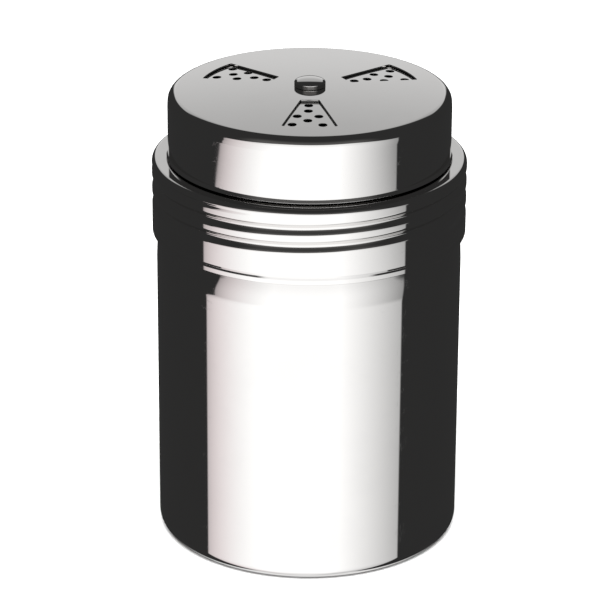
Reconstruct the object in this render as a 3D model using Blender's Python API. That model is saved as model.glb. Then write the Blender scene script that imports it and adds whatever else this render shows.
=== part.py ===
"""Stainless spice shaker with a screw lid and a turning dial.

A drawn can carries a stepped lid on a rolled thread. The lid's domed top is
pierced with coarse and fine holes. A shallow cap turns on a riveted knob over
it, and its three windows pick the coarse holes, the fine holes or no holes.
Metres, +Z up, origin at the middle of the foot ring.
"""

import math

import bmesh
import bpy
from mathutils import Matrix, Vector

MM = 0.001
FULL_TURN = 2.0 * math.pi
QUARTER_TURN = 0.5 * math.pi

# Clearances
seat_gap = 0.3 * MM
skirt_gap = 0.4 * MM
cap_gap = 0.3 * MM
shank_gap = 0.3 * MM
ridge_tip_gap = 0.7 * MM
bead_tip_gap = 0.45 * MM
thread_play = 0.45 * MM

# Can
can_radius = 32.0 * MM
can_height = 81.05 * MM
can_wall = 0.5 * MM
can_floor = 0.6 * MM
base_corner_radius = 2.4 * MM
foot_ring_width = 3.6 * MM
foot_ramp_width = 1.4 * MM
floor_rise = 0.9 * MM
neck_inset = 1.0 * MM
neck_step_height = 8.0 * MM
neck_step_rows = 4
neck_land = 1.6 * MM
rim_curl_radius = 0.75 * MM

# Rolled thread
thread_pitch = 3.7 * MM
ridge_turns = 2.0
ridge_width = 2.8 * MM
bead_width = 1.8 * MM
bead_turns = 1.1
thread_run_out_turns = 0.12
thread_top_land = 0.5 * MM

# Seal ring
seal_thickness = 1.0 * MM
seal_width = 1.7 * MM

# Stepped lid
lid_wall = 0.45 * MM
skirt_height = 16.0 * MM
shoulder_radius = 1.2 * MM
ledge_width = 3.275 * MM
drum_foot_radius = 0.4 * MM
crease_height = 1.45 * MM
crease_width = 1.0 * MM
crease_depth = 0.14 * MM
skirt_edge_share = 0.25

# Cap
cap_wall = 0.4 * MM
cap_side_height = 13.85 * MM
cap_corner_radius = 2.0 * MM
dome_rise = 1.0 * MM
lip_flare = 0.25 * MM
lip_height = 0.45 * MM
lip_rows = 3

# Windows and holes
window_count = 3
window_hub_margin = 5.29 * MM
window_rim_margin = 4.325 * MM
window_inner_width = 3.84 * MM
window_outer_width = 11.32 * MM
coarse_hole_diameter = 1.8 * MM
fine_hole_diameter = 1.0 * MM
fine_group_turn = math.radians(40.0)
dial_rest_turn = math.radians(1.2)
cut_overrun = 1.0 * MM

# Where the holes stand: the first number of a row runs from the window's inner
# edge (0) to its outer edge (1), the others across it, from side (-1) to side (1).
coarse_row_shares = (
    (0.135, (0.0,)),
    (0.343, (0.0,)),
    (0.539, (-0.556, 0.556)),
    (0.694, (0.0,)),
    (0.838, (-0.611, 0.611)),
)
fine_row_shares = (
    (0.16, (0.0,)),
    (0.33, (-0.42, 0.42)),
    (0.50, (0.0,)),
    (0.66, (-0.52, 0.52)),
    (0.83, (-0.62, 0.0, 0.62)),
)

# Knob and washers
knob_radius = 3.25 * MM
knob_height = 1.45 * MM
knob_crown = 0.9 * MM
knob_bevel = 0.15 * MM
shank_radius = 1.5 * MM
tail_radius = 2.5 * MM
tail_height = 0.7 * MM
tail_edge_share = 0.3
spring_radius = 4.2 * MM
spring_thickness = 0.3 * MM
spring_wave = 0.25 * MM
spring_waves = 3
backing_radius = 4.5 * MM
backing_thickness = 0.6 * MM
backing_bevel_share = 0.2

# Facets
round_steps = 48
small_round_steps = 32
coarse_hole_steps = 8
fine_hole_steps = 6
corner_steps = 3
crown_steps = 6
drum_foot_steps = 2
rows_per_pitch = 7
window_arc_steps = 5
dome_ring_shares = (0.28, 0.52, 0.74, 0.89)
weld_distance = 0.0001 * MM
sharp_angle = math.radians(35.0)

# Radii that follow from the sizes above
skirt_radius = can_radius + skirt_gap + lid_wall
neck_radius = can_radius - neck_inset
thread_room = neck_inset + skirt_gap
ridge_depth = thread_room - ridge_tip_gap
bead_height = thread_room - bead_tip_gap
cap_radius = skirt_radius - ledge_width
cap_flat_radius = cap_radius - cap_corner_radius
drum_radius = cap_radius - cap_wall - cap_gap
bore_radius = shank_radius + shank_gap
window_inner = knob_radius + window_hub_margin
window_outer = cap_flat_radius - window_rim_margin

# Heights above the foot ring that follow from the sizes above
seal_base = can_height + seat_gap
shoulder_top = seal_base + seal_thickness + seat_gap + lid_wall
lid_base = shoulder_top - skirt_height
ridge_top = skirt_height - shoulder_radius - thread_top_land - 0.5 * ridge_width
ridge_start = ridge_top - ridge_turns * thread_pitch
ridge_foot = ridge_start - 0.5 * ridge_width - thread_run_out_turns * thread_pitch
neck_base = lid_base + ridge_foot - neck_land
curl_base = can_height - 2.0 * rim_curl_radius - can_wall
cap_base = shoulder_top + seat_gap
cap_top = cap_base + cap_side_height + dome_rise
plate_top = cap_top - cap_wall - cap_gap
plate_underside = plate_top - lid_wall
knob_base = cap_top + seat_gap
spring_top = plate_underside - seat_gap
backing_top = spring_top - spring_thickness - 2.0 * spring_wave - seat_gap
tail_top = backing_top - backing_thickness - seat_gap
tail_base = tail_top - tail_height


def clear_scene():
    """Remove whatever the scene holds."""
    for old in list(bpy.data.objects):
        bpy.data.objects.remove(old, do_unlink=True)


def steel(name, colour, roughness, metallic=1.0):
    """Make a Principled material."""
    material = bpy.data.materials.new(name)
    material.use_nodes = True
    shader = material.node_tree.nodes["Principled BSDF"]
    shader.inputs["Base Color"].default_value = (*colour, 1.0)
    shader.inputs["Roughness"].default_value = roughness
    shader.inputs["Metallic"].default_value = metallic
    return material


def axis_empty(name, height, parent=None):
    """Make an empty on the shaker's axis, which the pieces of one body hang from."""
    empty = bpy.data.objects.new(name, None)
    bpy.context.scene.collection.objects.link(empty)
    empty.parent = parent
    empty.location.z = height - (parent.matrix_world.translation.z if parent else 0.0)
    bpy.context.view_layer.update()
    return empty


def add_object(name, bm, material, height, parent):
    """Turn a bmesh into an object whose origin stands on the axis at a height."""
    mesh = bpy.data.meshes.new(name)
    bm.to_mesh(mesh)
    bm.free()
    mesh.materials.append(material)
    mesh.shade_smooth()
    mesh.set_sharp_from_angle(angle=sharp_angle)
    piece = bpy.data.objects.new(name, mesh)
    bpy.context.scene.collection.objects.link(piece)
    piece.parent = parent
    piece.location.z = height - (parent.matrix_world.translation.z if parent else 0.0)
    return piece


def arc(centre_r, centre_z, radius, first_angle, last_angle, steps=corner_steps):
    """Points of a round stretch, both ends included; angle 0 points outwards."""
    points = []
    for step in range(steps + 1):
        angle = first_angle + (last_angle - first_angle) * step / steps
        points.append((centre_r + radius * math.cos(angle), centre_z + radius * math.sin(angle)))
    return points


def rows(radius, first_z, last_z, spacing):
    """Points up or down a straight wall, both ends included, no further apart than spacing."""
    count = max(1, math.ceil(abs(last_z - first_z) / spacing))
    return [(radius, first_z + (last_z - first_z) * row / count) for row in range(count + 1)]


def turned(profile, steps=round_steps, closed=True):
    """Spin a profile of (radius, height) points round the axis into a closed body."""
    bm = bmesh.new()
    points = [bm.verts.new((radius, 0.0, height)) for radius, height in profile]
    edges = [bm.edges.new(pair) for pair in zip(points, points[1:])]
    if closed:
        edges.append(bm.edges.new((points[-1], points[0])))
    bmesh.ops.spin(
        bm, geom=points + edges, axis=(0.0, 0.0, 1.0), cent=(0.0, 0.0, 0.0),
        angle=FULL_TURN, steps=steps, use_merge=True,
    )
    bmesh.ops.remove_doubles(bm, verts=bm.verts, dist=weld_distance)
    bmesh.ops.recalc_face_normals(bm, faces=bm.faces)
    return bm


def dome_drop(radius):
    """How far the cap's dome lies below its middle at a radius."""
    return dome_rise * (radius / cap_flat_radius) ** 2


def dome(middle_height, inner_radius, outer_radius):
    """Points along a dome, from its rim in to its bore."""
    radii = [outer_radius]
    radii += [share * cap_flat_radius for share in reversed(dome_ring_shares)]
    radii += [inner_radius]
    return [(radius, middle_height - dome_drop(radius)) for radius in radii]


def thread_share(angle, height, start_height, first_turn, last_turn, width):
    """How much of the full thread depth a point of the wall gets, from 0 to 1."""
    share = 0.0
    for lap in range(-1, math.ceil(last_turn) + 1):
        turn = angle / FULL_TURN + lap
        past_end = max(first_turn - turn, turn - last_turn, 0.0)
        offset = height - start_height - turn * thread_pitch
        if past_end < thread_run_out_turns and abs(offset) < 0.5 * width:
            fade = 0.5 + 0.5 * math.cos(math.pi * past_end / thread_run_out_turns)
            share = max(share, fade * (0.5 + 0.5 * math.cos(FULL_TURN * offset / width)))
    return share


def roll_thread(bm, depth, start_height, first_turn, last_turn, width):
    """Press a helical thread into a wall: depth moves it inwards, a negative depth outwards."""
    moved = set()
    for vert in bm.verts:
        angle = math.atan2(vert.co.y, vert.co.x) % FULL_TURN
        share = thread_share(angle, vert.co.z, start_height, first_turn, last_turn, width)
        if share > 0.0:
            radius = math.hypot(vert.co.x, vert.co.y)
            scale = (radius - depth * share) / radius
            vert.co.x *= scale
            vert.co.y *= scale
            moved.update(vert.link_faces)
    bmesh.ops.triangulate(bm, faces=list(moved))


def half_width_at(depth, width, level):
    """Half the width of a rolled thread at a level measured from its foot."""
    return width / FULL_TURN * math.acos(2.0 * level / depth - 1.0)


def bead_lift():
    """Height of the can's bead over the lid's ridge that carries it, along the axis."""
    overlap = ridge_depth + bead_height - thread_room
    ridge_half = half_width_at(ridge_depth, ridge_width, ridge_depth - 0.5 * overlap)
    bead_half = half_width_at(bead_height, bead_width, bead_height - 0.5 * overlap)
    return ridge_half + bead_half + thread_play


def bead_span():
    """Height of the bead's helix at turn 0, and the turns where it starts and ends."""
    start = lid_base + ridge_start + bead_lift()
    reach = 0.5 * bead_width + thread_run_out_turns * thread_pitch
    last_turn = (curl_base - reach - start) / thread_pitch
    return start, last_turn - bead_turns, last_turn


def neck_step():
    """How the can's wall curves in below the neck: (inset, height) from its foot up."""
    steps = []
    for row in range(neck_step_rows + 1):
        share = row / neck_step_rows
        steps.append((neck_inset * share ** 2, neck_base - neck_step_height * (1.0 - share)))
    return steps


def can_profile():
    """Outline of the can: underside, outer wall, rim, inner wall, floor."""
    ring_outer = can_radius - base_corner_radius
    ring_inner = ring_outer - foot_ring_width
    panel = ring_inner - foot_ramp_width
    inner_corner = base_corner_radius - can_wall
    bead_low = curl_base - bead_turns * thread_pitch - bead_width
    bead_low -= 2.0 * thread_run_out_turns * thread_pitch
    curl_z = can_height - rim_curl_radius
    curl_r = neck_radius - rim_curl_radius
    thread_rows = thread_pitch / rows_per_pitch
    inner_neck = neck_radius - can_wall

    outline = [(0.0, floor_rise), (panel, floor_rise), (ring_inner, 0.0)]
    outline += arc(ring_outer, base_corner_radius, base_corner_radius, -QUARTER_TURN, 0.0)
    outline += [(can_radius - inset, height) for inset, height in neck_step()]
    outline += rows(neck_radius, bead_low, curl_base, thread_rows)
    outline += arc(curl_r, curl_z, rim_curl_radius, 0.0, math.pi, 2 * corner_steps)
    outline += [(curl_r - rim_curl_radius, curl_z - rim_curl_radius)]
    outline += rows(inner_neck, curl_base, bead_low, thread_rows)
    outline += [(can_radius - can_wall - inset, height) for inset, height in reversed(neck_step())]
    outline += arc(
        can_radius - can_wall - inner_corner, can_floor + inner_corner, inner_corner,
        0.0, -QUARTER_TURN,
    )
    outline += [(ring_inner, can_floor), (panel, floor_rise + can_floor)]
    outline += [(0.0, floor_rise + can_floor)]
    return outline


def build_can(material):
    """The drawn can with its rolled neck bead."""
    bm = turned(can_profile(), closed=False)
    start, first_turn, last_turn = bead_span()
    roll_thread(bm, -bead_height, start, first_turn, last_turn, bead_width)
    return add_object("container_can", bm, material, 0.0, None)


def build_seal(material, parent):
    """The flat ring between the can's rim and the lid's shoulder."""
    outer = neck_radius + seat_gap
    inner = outer - seal_width
    profile = [(inner, 0.0), (outer, 0.0), (outer, seal_thickness), (inner, seal_thickness)]
    return add_object("lid_seal", turned(profile), material, seal_base, parent)


def lid_profile():
    """Outline of the lid from its foot: skirt, shoulder, drum, dome, and back inside."""
    inner_skirt = skirt_radius - lid_wall
    shoulder_r = skirt_radius - shoulder_radius
    shoulder_z = skirt_height - shoulder_radius
    inner_shoulder = shoulder_radius - lid_wall
    inner_drum = drum_radius - lid_wall
    drum_corner = cap_corner_radius - cap_wall - cap_gap
    inner_corner = drum_corner - lid_wall
    corner_z = plate_top - dome_drop(cap_flat_radius) - drum_corner - lid_base
    ridge_high = ridge_top + 0.5 * ridge_width + thread_run_out_turns * thread_pitch
    thread_rows = thread_pitch / rows_per_pitch
    edge = skirt_edge_share * lid_wall

    outline = [(inner_skirt + edge, 0.0), (skirt_radius - edge, 0.0), (skirt_radius, edge)]
    outline += [(skirt_radius, crease_height - 0.5 * crease_width)]
    outline += [(skirt_radius - crease_depth, crease_height)]
    outline += [(skirt_radius, crease_height + 0.5 * crease_width)]
    outline += rows(skirt_radius, ridge_foot, ridge_high, thread_rows)
    outline += arc(shoulder_r, shoulder_z, shoulder_radius, 0.0, QUARTER_TURN)
    outline += arc(
        drum_radius + drum_foot_radius, skirt_height + drum_foot_radius, drum_foot_radius,
        -QUARTER_TURN, -2.0 * QUARTER_TURN, drum_foot_steps,
    )
    outline += arc(cap_flat_radius, corner_z, drum_corner, 0.0, QUARTER_TURN)
    outline += dome(plate_top - lid_base, bore_radius, cap_flat_radius)[1:]
    outline += reversed(dome(plate_underside - lid_base, bore_radius, cap_flat_radius)[1:])
    outline += arc(cap_flat_radius, corner_z, inner_corner, QUARTER_TURN, 0.0)
    outline += [(inner_drum, skirt_height - lid_wall)]
    outline += arc(shoulder_r, shoulder_z, inner_shoulder, QUARTER_TURN, 0.0)
    outline += rows(inner_skirt, ridge_high, ridge_foot, thread_rows)
    outline += [(inner_skirt, edge)]
    return outline


def half_window(share):
    """Half the window's width at a share of the way from its inner to its outer edge."""
    return 0.5 * (window_inner_width + (window_outer_width - window_inner_width) * share)


def hole_places(row_shares, turn):
    """Centres of one kind of hole, in every group round the dome."""
    places = []
    for window in range(window_count):
        angle = window * FULL_TURN / window_count - QUARTER_TURN + turn
        turn_matrix = Matrix.Rotation(angle, 3, "Z")
        for along, across_shares in row_shares:
            reach = window_inner + (window_outer - window_inner) * along
            for across in across_shares:
                spot = Vector((reach, across * half_window(along), 0.0))
                places.append(turn_matrix @ spot)
    return places


def hole_cutter(name, places, diameter, steps, parent):
    """One cutter of upright pins, a pin for each hole."""
    bm = bmesh.new()
    depth = lid_wall + dome_rise + 2.0 * cut_overrun
    middle = 0.5 * (plate_top + plate_underside - dome_rise)
    for place in places:
        bmesh.ops.create_cone(
            bm, cap_ends=True, segments=steps, radius1=0.5 * diameter, radius2=0.5 * diameter,
            depth=depth, matrix=Matrix.Translation(place),
        )
    return hidden_cutter(name, bm, middle, parent)


def hidden_cutter(name, bm, height, parent):
    """Make an object that only cuts another."""
    mesh = bpy.data.meshes.new(name)
    bm.to_mesh(mesh)
    bm.free()
    cutter = bpy.data.objects.new(name, mesh)
    bpy.context.scene.collection.objects.link(cutter)
    cutter.parent = parent
    cutter.location.z = height - parent.matrix_world.translation.z
    cutter.display_type = "WIRE"
    cutter.hide_render = True
    cutter.hide_set(True)
    return cutter


def cut(piece, cutter):
    """Take a cutter out of a piece."""
    modifier = piece.modifiers.new(cutter.name, "BOOLEAN")
    modifier.operation = "DIFFERENCE"
    modifier.solver = "EXACT"
    modifier.object = cutter


def build_lid(material, parent):
    """The stepped lid: rolled skirt, shoulder, drum and pierced dome."""
    bm = turned(lid_profile())
    roll_thread(bm, ridge_depth, ridge_start, 0.0, ridge_turns, ridge_width)
    lid = add_object("stepped_lid", bm, material, lid_base, parent)
    coarse = hole_places(coarse_row_shares, -dial_rest_turn)
    fine = hole_places(fine_row_shares, fine_group_turn - dial_rest_turn)
    cut(lid, hole_cutter("coarse_hole_pins", coarse, coarse_hole_diameter, coarse_hole_steps, parent))
    cut(lid, hole_cutter("fine_hole_pins", fine, fine_hole_diameter, fine_hole_steps, parent))
    return lid


def cap_profile():
    """Outline of the cap from its lip: flared lip, side, corner, dome, and back inside."""
    inner_side = cap_radius - cap_wall
    corner_z = cap_side_height - cap_corner_radius
    inner_corner = cap_corner_radius - cap_wall
    dome_top = cap_top - cap_base
    lip_steps = []
    for row in range(lip_rows):
        rise = row / lip_rows
        lip_steps.append((lip_flare * (1.0 - rise) ** 2, lip_height * rise))

    outline = [(cap_radius + flare, height) for flare, height in lip_steps]
    outline += [(cap_radius, lip_height)]
    outline += arc(cap_flat_radius, corner_z, cap_corner_radius, 0.0, QUARTER_TURN)
    outline += dome(dome_top, bore_radius, cap_flat_radius)[1:]
    outline += reversed(dome(dome_top - cap_wall, bore_radius, cap_flat_radius)[1:])
    outline += arc(cap_flat_radius, corner_z, inner_corner, QUARTER_TURN, 0.0)
    outline += [(inner_side, lip_height)]
    outline += [(inner_side + flare, height) for flare, height in reversed(lip_steps)]
    return outline


def window_cutter(window, parent):
    """A cutter for one window: straight sides, and an outer edge round the axis."""
    outer_reach = math.sqrt(window_outer ** 2 - half_window(1.0) ** 2)
    sweep = math.atan2(half_window(1.0), outer_reach)
    outline = [(window_inner, -half_window(0.0)), (window_inner, half_window(0.0))]
    outline += arc(0.0, 0.0, window_outer, sweep, -sweep, window_arc_steps)
    bm = bmesh.new()
    face = bm.faces.new([bm.verts.new((along, across, 0.0)) for along, across in outline])
    raised = bmesh.ops.extrude_face_region(bm, geom=[face])
    depth = cap_wall + dome_rise + 2.0 * cut_overrun
    verts = [item for item in raised["geom"] if isinstance(item, bmesh.types.BMVert)]
    bmesh.ops.translate(bm, verts=verts, vec=(0.0, 0.0, depth))
    bmesh.ops.recalc_face_normals(bm, faces=bm.faces)
    angle = window * FULL_TURN / window_count - QUARTER_TURN
    bmesh.ops.rotate(bm, verts=bm.verts, matrix=Matrix.Rotation(angle, 3, "Z"))
    base = cap_top - dome_rise - cap_wall - cut_overrun
    return hidden_cutter("window_block_%d" % (window + 1), bm, base, parent)


def build_cap(material, parent):
    """The turning cap with its three windows."""
    cap = add_object("selector_cap", turned(cap_profile()), material, cap_base, parent)
    for window in range(window_count):
        cut(cap, window_cutter(window, parent))
    return cap


def build_knob(material, parent):
    """The riveted knob: crowned head, shank through cap and lid, and headed tail."""
    side = knob_height - knob_crown
    tail = tail_base - knob_base
    tail_edge = tail_edge_share * tail_height
    profile = [(0.0, knob_height)]
    for step in range(1, crown_steps + 1):
        angle = QUARTER_TURN * (1.0 - step / crown_steps)
        profile.append((knob_radius * math.cos(angle), side + knob_crown * math.sin(angle)))
    profile += [(knob_radius, knob_bevel), (knob_radius - knob_bevel, 0.0), (shank_radius, 0.0)]
    profile += [(shank_radius, tail + tail_height), (tail_radius, tail + tail_height)]
    profile += [(tail_radius, tail + tail_edge), (tail_radius - tail_edge, tail), (0.0, tail)]
    bm = turned(profile, small_round_steps, closed=False)
    return add_object("pivot_knob", bm, material, knob_base, parent)


def build_spring(material, parent):
    """The wavy washer that keeps the cap from turning by itself."""
    base = spring_top - spring_thickness - spring_wave
    profile = [
        (bore_radius, 0.0), (spring_radius, 0.0),
        (spring_radius, spring_thickness), (bore_radius, spring_thickness),
    ]
    bm = turned(profile, small_round_steps)
    for vert in bm.verts:
        vert.co.z += spring_wave * math.cos(spring_waves * math.atan2(vert.co.y, vert.co.x))
    bmesh.ops.triangulate(bm, faces=bm.faces)
    return add_object("spring_washer", bm, material, base, parent)


def build_backing(material, parent):
    """The flat washer that the knob's tail is headed against."""
    bevel = backing_bevel_share * backing_thickness
    profile = [
        (bore_radius, 0.0), (backing_radius - bevel, 0.0), (backing_radius, bevel),
        (backing_radius, backing_thickness), (bore_radius, backing_thickness),
    ]
    bm = turned(profile, small_round_steps)
    base = backing_top - backing_thickness
    return add_object("backing_washer", bm, material, base, parent)


def main():
    clear_scene()
    polished = steel("polished_steel", (0.62, 0.61, 0.60), 0.08)
    satin = steel("satin_steel", (0.55, 0.55, 0.55), 0.3)
    spring = steel("spring_steel", (0.42, 0.42, 0.43), 0.35)
    rubber = steel("seal_rubber", (0.72, 0.72, 0.70), 0.6, 0.0)

    build_can(polished)
    lift_axis = axis_empty("lid_lift_axis", seal_base)
    build_seal(rubber, lift_axis)
    turn_axis = axis_empty("lid_turn_axis", lid_base, lift_axis)
    build_lid(polished, turn_axis)
    build_knob(polished, turn_axis)
    build_spring(spring, turn_axis)
    build_backing(satin, turn_axis)
    dial_axis = axis_empty("dial_turn_axis", cap_base, turn_axis)
    build_cap(polished, dial_axis)


main()
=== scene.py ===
"""Looks of a polished steel spice shaker with a screw lid and a turning cap.

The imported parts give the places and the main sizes. Each piece is spun, rolled
or pierced again here, with fine faces and true normals, so that its polish
reflects a small studio the way the real shaker does. Metres, +Z up, and -Y
points to the viewer.
"""

import math
from collections import namedtuple

import bmesh
import bpy
from mathutils import Matrix, Vector
from mathutils.geometry import delaunay_2d_cdt


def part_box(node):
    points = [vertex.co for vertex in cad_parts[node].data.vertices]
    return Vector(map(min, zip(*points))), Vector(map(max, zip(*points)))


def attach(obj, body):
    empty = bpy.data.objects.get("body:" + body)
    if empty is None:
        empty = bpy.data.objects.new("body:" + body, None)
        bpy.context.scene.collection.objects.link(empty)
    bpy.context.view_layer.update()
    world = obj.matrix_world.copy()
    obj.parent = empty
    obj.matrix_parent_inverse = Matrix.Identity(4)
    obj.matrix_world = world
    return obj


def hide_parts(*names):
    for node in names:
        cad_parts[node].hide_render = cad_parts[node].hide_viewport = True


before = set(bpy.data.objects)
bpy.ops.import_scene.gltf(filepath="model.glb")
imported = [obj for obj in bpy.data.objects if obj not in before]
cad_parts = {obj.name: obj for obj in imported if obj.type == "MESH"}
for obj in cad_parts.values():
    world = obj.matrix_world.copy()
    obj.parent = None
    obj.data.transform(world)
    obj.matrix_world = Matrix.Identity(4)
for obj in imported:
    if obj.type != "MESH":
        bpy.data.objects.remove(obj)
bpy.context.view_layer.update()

bl_info = {
    "name": "Spice Shaker Looks",
    "version": (1, 0, 0),
    "blender": (4, 5, 0),
    "location": "3D View > Sidebar > Shaker",
    "description": "Builds the polished looks of a spice shaker round its packed parts",
    "category": "Object",
}

MM = 0.001
FULL_TURN = 2.0 * math.pi
QUARTER_TURN = 0.5 * math.pi
WELD = 1e-6

# How finely things are divided

SEGMENTS = 192
SMALL_SEGMENTS = 96
CROWN_STEPS = 24
BORE_STEPS = 48
COARSE_HOLE_STEPS = 24
FINE_HOLE_STEPS = 16
OUTER_EDGE_STEPS = 24
OUTER_CORNER_STEPS = 6
INNER_CORNER_STEPS = 4
CUT_EDGE_STEPS = 3
BEND_STEP = math.radians(6.0)
SMALL_BEND_STEP = math.radians(20.0)
SMALL_ROUNDING = 0.5 * MM
DOME_RING_SPACING = 1.0 * MM
DOME_POINT_SPACING = 1.2 * MM
DOME_EDGE_MARGIN = 0.25 * MM
FEWEST_DOME_POINTS = 24
SAME_POINT = 0.01 * WELD
SLOPE_STEP = 0.01 * MM


def length(name, description, millimetres):
    """A length property whose default is given in millimetres."""
    return bpy.props.FloatProperty(
        name=name, description=description, default=millimetres * MM, unit="LENGTH", precision=5,
    )


def angle(name, description, degrees):
    """An angle property whose default is given in degrees."""
    return bpy.props.FloatProperty(
        name=name, description=description, default=math.radians(degrees), unit="ROTATION",
    )


def amount(name, description, default):
    """A plain number from 0 upwards."""
    return bpy.props.FloatProperty(name=name, description=description, default=default, min=0.0)


def colour(name, description, default):
    """A linear colour property."""
    return bpy.props.FloatVectorProperty(
        name=name, description=description, default=default, size=3, subtype="COLOR", min=0.0,
    )


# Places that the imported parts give

can_low, can_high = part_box("container_can")
seal_low, seal_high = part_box("lid_seal")
lid_low, lid_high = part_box("stepped_lid")
cap_low, cap_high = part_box("selector_cap")
knob_low, knob_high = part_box("pivot_knob")
spring_low, spring_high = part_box("spring_washer")
backing_low, backing_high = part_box("backing_washer")


class CanForm(bpy.types.PropertyGroup):
    """Sizes of the drawn can."""

    radius: length("Radius", "Outside radius of the can's wall", can_high.x / MM)
    height: length("Height", "Height of the curled rim", can_high.z / MM)
    wall: length("Wall", "Sheet of the wall", 0.5)
    floor: length("Floor", "Sheet of the floor", 0.6)
    base_corner: length("Base corner", "Outside rounding of the base", 2.4)
    foot_ring: length("Foot ring", "Width of the flat ring that it stands on", 3.6)
    foot_ramp: length("Foot ramp", "Width of the ramp inside the foot ring", 1.4)
    floor_rise: length("Floor rise", "Height of the raised middle of the floor", 0.9)
    neck_inset: length("Neck inset", "How far the neck steps in", 1.0)
    neck_step: length("Neck step", "Height over which the wall leans in to the neck", 6.4)
    neck_curve: length("Neck curve", "Radius of the curve into the lean", 34.0)
    neck_base: length("Neck base", "Height where the straight neck begins", 69.9)
    rim_curl: length("Rim curl", "Radius of the curled rim", 0.75)
    bead_width: length("Bead width", "Width of the rolled bead", 1.8)
    bead_height: length("Bead height", "How far the bead stands out", 0.95)
    bead_start: length("Bead start", "Height of the bead's helix at +X", 73.65)
    bead_turns: amount("Bead turns", "Turns of the bead round the neck", 1.1)
    bead_end: amount("Bead end", "Turns from +X to the end of the bead", 1.096)
    bend: length("Bend", "Rounding of the bends in the floor and below the neck", 0.8)
    cut_share: amount("Cut share", "Rounding of the curl's cut edge, as a share of the wall", 0.3)
    row: length("Row", "Height of the rows of faces over the bead", 0.16)


class LidForm(bpy.types.PropertyGroup):
    """Sizes of the stepped lid and of what is rolled and pierced in it."""

    radius: length("Radius", "Outside radius of the skirt", lid_high.x / MM)
    foot: length("Foot", "Height of the skirt's lower edge", lid_low.z / MM)
    wall: length("Wall", "Sheet of the lid", 0.45)
    skirt: length("Skirt", "Height of the skirt up to the shoulder's flat", 16.0)
    shoulder: length("Shoulder", "Outside rounding of the shoulder", 1.0)
    drum_radius: length("Drum radius", "Outside radius of the drum in the cap", 28.875)
    drum_foot: length("Drum foot", "Rounding where the drum meets the ledge", 0.4)
    drum_corner: length("Drum corner", "Outside rounding of the drum's top", 1.3)
    plate_depth: length("Plate depth", "How far the plate lies below the cap's top", 0.5)
    pitch: length("Thread pitch", "Rise of the thread in one turn", 3.7)
    ridge_width: length("Ridge width", "Width of the rolled ridge", 2.8)
    ridge_depth: length("Ridge depth", "How far the ridge is rolled in", 0.65)
    ridge_turns: amount("Ridge turns", "Turns of the ridge", 2.58)
    ridge_start: length("Ridge start", "Height of the ridge's middle where it starts", 72.6)
    run_out: amount("Run-out", "Turns that the ridge takes to fade out", 0.12)
    top_land: length("Top land", "Height over which the ridge fades out under the shoulder", 0.6)
    crease: length("Crease", "Height of the crease above the skirt's edge", 1.45)
    crease_width: length("Crease width", "Width of the crease", 0.84)
    crease_depth: length("Crease depth", "Depth of the crease", 0.125)
    coarse_hole: length("Coarse hole", "Diameter of a coarse hole", 1.8)
    fine_hole: length("Fine hole", "Diameter of a fine hole", 1.0)
    fine_turn: angle("Fine group", "Turn from a coarse group to its fine group", 40.0)
    rest_turn: angle("Rest turn", "How far the holes stand turned from the windows", 1.2)
    cut_edge: length("Cut edge", "Rounding of the holes' edges", 0.06)
    rim_share: amount("Rim share", "Rounding of the skirt's edge, as a share of the wall", 0.4)
    crease_bend: length("Crease bend", "Rounding of the crease's bends", 0.1)
    inner_bend: length("Inner bend", "Rounding of the bend under the ledge", 0.2)
    row: length("Row", "Height of the rows of faces over the ridge", 0.14)
    seal_width: length("Seal width", "Width of the seal ring", 1.7)
    seal_edge: length("Seal edge", "Rounding of the seal's edges", 0.15)


class CapForm(bpy.types.PropertyGroup):
    """Sizes of the turning cap and its windows."""

    flare: length("Lip flare", "How far the lip's edge stands out from the side", 0.33)
    base: length("Base", "Height of the lip's edge", cap_low.z / MM)
    top: length("Top", "Height of the dome's middle", 98.25)
    wall: length("Wall", "Sheet of the cap", 0.35)
    corner: length("Corner", "Outside rounding of the cap's corner", 2.0)
    lean: angle("Lean", "How far the side leans in below the corner", 4.0)
    lean_height: length("Lean height", "How far below the dome's edge the side begins to lean", 2.7)
    lean_curve: length("Lean curve", "Radius of the curve into the lean", 12.0)
    dome_rise: length("Dome rise", "How far the middle stands above the dome's edge", 1.0)
    lip_height: length("Lip height", "Height of the flared lip", 0.85)
    lip_curve: length("Lip curve", "Rounding where the side turns out into the lip", 0.3)
    window_count: bpy.props.IntProperty(name="Windows", description="Windows round the cap", default=3)
    window_inner: length("Window, inner", "Distance of a window's inner edge from the axis", 8.54)
    window_outer: length("Window, outer", "Radius of a window's outer edge", 23.25)
    inner_width: length("Inner width", "Width of a window at its inner edge", 3.84)
    outer_width: length("Outer width", "Width of a window at its outer edge", 11.32)
    window_corner: length("Window corner", "Rounding of a window's corners", 0.3)
    cut_edge: length("Cut edge", "Rounding of the windows' edges", 0.05)
    rim_share: amount("Rim share", "Rounding of the lip's edge, as a share of the wall", 0.4)


class KnobForm(bpy.types.PropertyGroup):
    """Sizes of the riveted knob and of what lies round its shank."""

    radius: length("Radius", "Radius of the head", knob_high.x / MM)
    seat: length("Seat", "Height of the head's underside", 98.27)
    top: length("Top", "Height of the crown", knob_high.z / MM)
    crown: length("Crown", "How far the crown stands above the head's side", 0.9)
    lower_edge: length("Lower edge", "Rounding of the head's lower edge", 0.14)
    shank: length("Shank", "Radius of the shank", 1.5)
    tail: length("Tail", "Radius of the headed tail", 2.5)
    tail_height: length("Tail height", "Height of the headed tail", 0.7)
    tail_edge_share: amount("Tail edge share", "Rounding of the tail, as a share of its height", 0.3)
    bend: length("Bend", "Rounding where the shank meets head and tail", 0.1)
    washer_edge: length("Washer edge", "Rounding of the washers' edges", 0.06)
    bore: length("Bore", "Radius of the bores that the shank runs in", 1.8)
    wave: length("Wave", "Height of the wavy washer's waves", 0.25)
    waves: bpy.props.IntProperty(name="Waves", description="Waves of the washer", default=3)


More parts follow.
